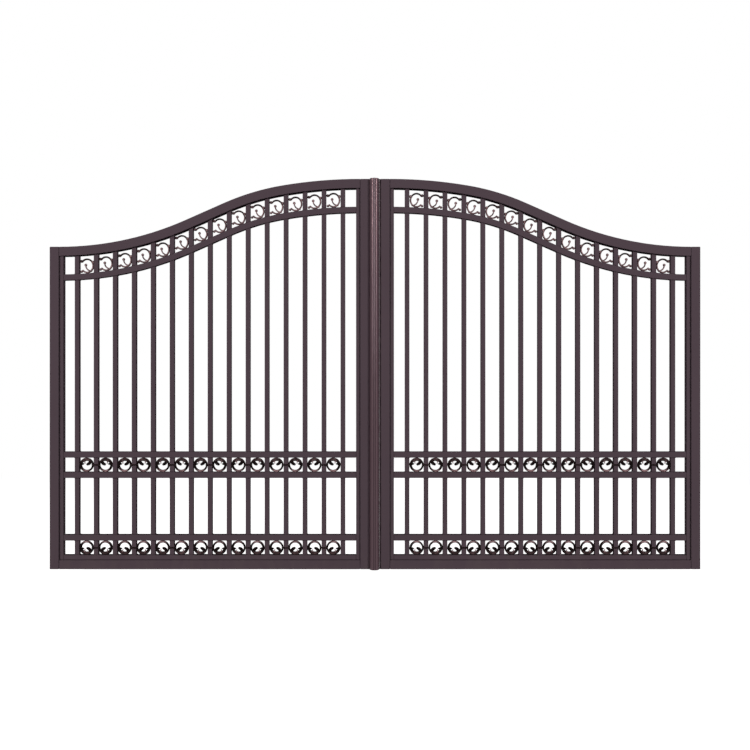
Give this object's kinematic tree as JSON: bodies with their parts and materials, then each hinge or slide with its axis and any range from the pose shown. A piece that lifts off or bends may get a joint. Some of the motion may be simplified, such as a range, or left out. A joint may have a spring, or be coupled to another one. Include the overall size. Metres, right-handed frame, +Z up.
{
  "type": "double driveway gate",
  "caption": "Double-leaf swing gate of square tube with a swept top, square balusters, rows of cast rings and scrolls, and bolted hinge brackets.",
  "frame": {"origin": "middle of the pier face of the left lower hinge bracket", "axes": "+X along the closed gate from the left pier to the right pier, +Y from the front to the back, +Z up"},
  "size_m": [3.528, 0.1524, 2.1],
  "materials": {
    "frame_coat": "satin powder coat",
    "casting_coat": "dark brown coat with rubbed copper edges",
    "cover_coat": "glossy reddish brown coat",
    "hinge_coat": "satin coat, bare steel at the pins",
    "seal_rubber": "matt"
  },
  "bodies": {
    "hinge_brackets": {"left_hinge_brackets": "hinge_coat", "right_hinge_brackets": "hinge_coat"},
    "left_leaf": {"left_hinge_stile": "frame_coat", "left_meeting_stile": "frame_coat", "left_bottom_rail": "frame_coat", "left_top_rail": "frame_coat", "left_hinge_strip": "frame_coat", "left_meeting_strip": "frame_coat", "left_bottom_strip": "frame_coat", "left_balusters": "frame_coat", "left_short_balusters": "frame_coat", "left_scroll_rail": "frame_coat", "left_low_rail": "frame_coat", "left_lower_middle_rail": "frame_coat", "left_upper_middle_rail": "frame_coat", "left_scrolls": "casting_coat", "left_middle_rings": "casting_coat", "left_low_rings": "casting_coat", "left_hinge_eyes": "hinge_coat", "meeting_cover": "cover_coat"},
    "right_leaf": {"right_hinge_stile": "frame_coat", "right_meeting_stile": "frame_coat", "right_bottom_rail": "frame_coat", "right_top_rail": "frame_coat", "right_hinge_strip": "frame_coat", "right_meeting_strip": "frame_coat", "right_bottom_strip": "frame_coat", "right_balusters": "frame_coat", "right_short_balusters": "frame_coat", "right_scroll_rail": "frame_coat", "right_low_rail": "frame_coat", "right_lower_middle_rail": "frame_coat", "right_upper_middle_rail": "frame_coat", "right_scrolls": "casting_coat", "right_middle_rings": "casting_coat", "right_low_rings": "casting_coat", "right_hinge_eyes": "hinge_coat", "meeting_seal": "seal_rubber"}
  },
  "joints": [
    {"name": "left_leaf_swing", "type": "hinge", "parent": "hinge_brackets", "child": "left_leaf", "pos_m": [0.039, -0.019, 0], "axis": [0, 0, 1], "range_deg": [0, 90]},
    {"name": "right_leaf_swing", "type": "hinge", "parent": "hinge_brackets", "child": "right_leaf", "pos_m": [3.489, -0.019, 0], "axis": [0, 0, -1], "range_deg": [0, 90]}
  ]
}
